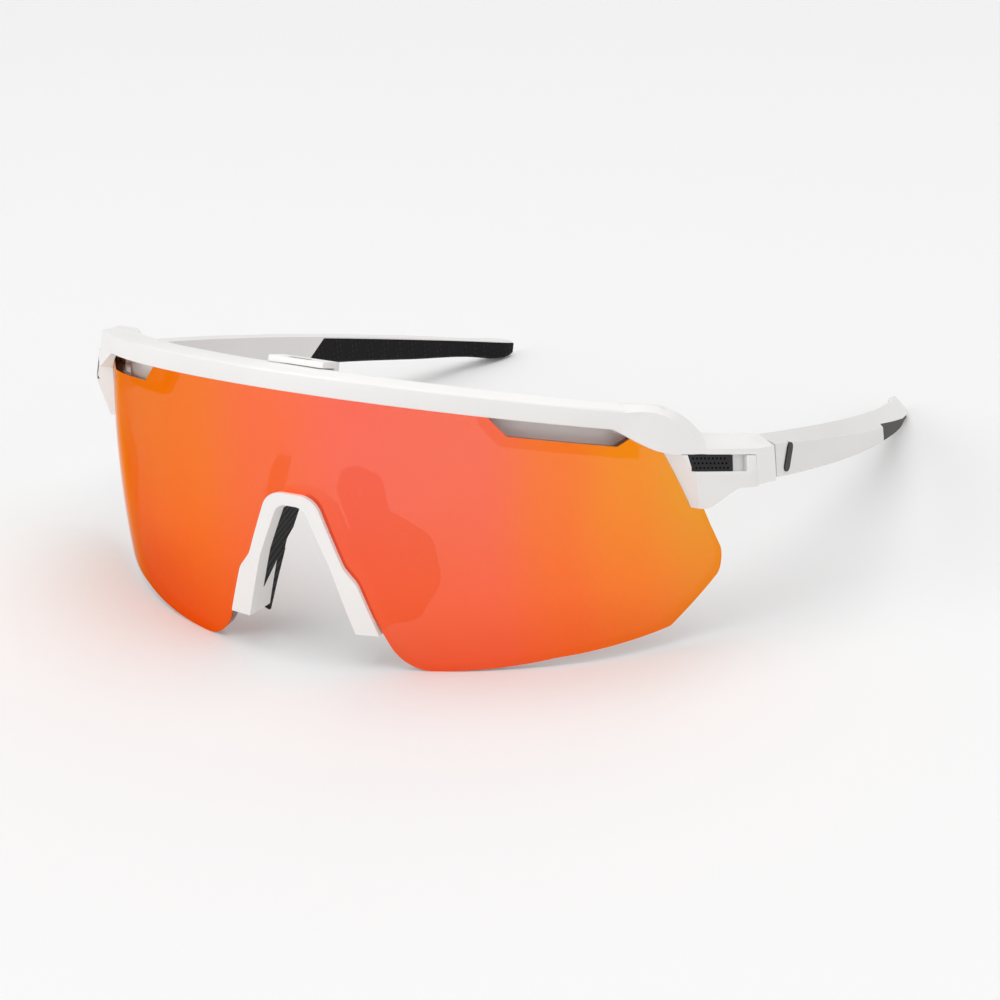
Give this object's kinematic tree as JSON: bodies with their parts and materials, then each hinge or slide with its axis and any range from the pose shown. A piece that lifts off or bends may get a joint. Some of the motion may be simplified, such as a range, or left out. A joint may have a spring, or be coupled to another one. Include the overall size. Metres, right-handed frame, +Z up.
{
  "type": "sport sunglasses",
  "caption": "Wraparound shield sunglasses: one mirror lens clipped into a vented white brow bar, with folding rubber-tipped arms and soft nose pads.",
  "frame": {"origin": "centre of the bounding box's base, on the surface that the open glasses stand on", "axes": "+X to the wearer's left, +Y from the lens back along the arms, +Z up from the surface; the lens's two lobes and the two arm tips stand on Z = 0"},
  "size_m": [0.1416, 0.1648, 0.0571],
  "materials": {
    "lens": "orange mirror coating on a tinted polycarbonate shield",
    "frame_white": "white, satin gloss",
    "temple_white": "white, satin gloss",
    "black_trim": "black, satin",
    "rubber_black": "soft black rubber",
    "rubber_grey": "soft dark grey rubber",
    "screw_steel": "steel, fine-turned"
  },
  "bodies": {
    "front": {"brow_bar": "frame_white", "lens": "lens", "nose_bridge": "frame_white", "side_pod_left": "frame_white", "side_pod_right": "frame_white", "vent_mesh_left": "black_trim", "vent_mesh_right": "black_trim", "nose_pad_left": "rubber_black", "nose_pad_right": "rubber_black", "hinge_screw_left": "screw_steel", "hinge_screw_right": "screw_steel"},
    "left_arm": {"temple_left": "temple_white", "temple_grip_left": "rubber_black", "temple_patch_left": "rubber_grey", "temple_badge_left": "black_trim"},
    "right_arm": {"temple_right": "temple_white", "temple_grip_right": "rubber_black", "temple_patch_right": "rubber_grey", "temple_badge_right": "black_trim"},
    "latch": {"lens_latch": "frame_white", "latch_badge": "black_trim"}
  },
  "joints": [
    {"name": "left_arm_fold", "type": "hinge", "parent": "front", "child": "left_arm", "pos_m": [0.066, -0.0294, 0.03191], "axis": [0, 0.1017, 0.9948], "range_deg": [0, 84]},
    {"name": "right_arm_fold", "type": "hinge", "parent": "front", "child": "right_arm", "pos_m": [-0.066, -0.0294, 0.03191], "axis": [0, -0.1017, -0.9948], "range_deg": [0, 76]},
    {"name": "latch_slide", "type": "slide", "parent": "front", "child": "latch", "axis": [0, 0.9519, -0.3063], "range_m": [0, 0.0025]}
  ]
}
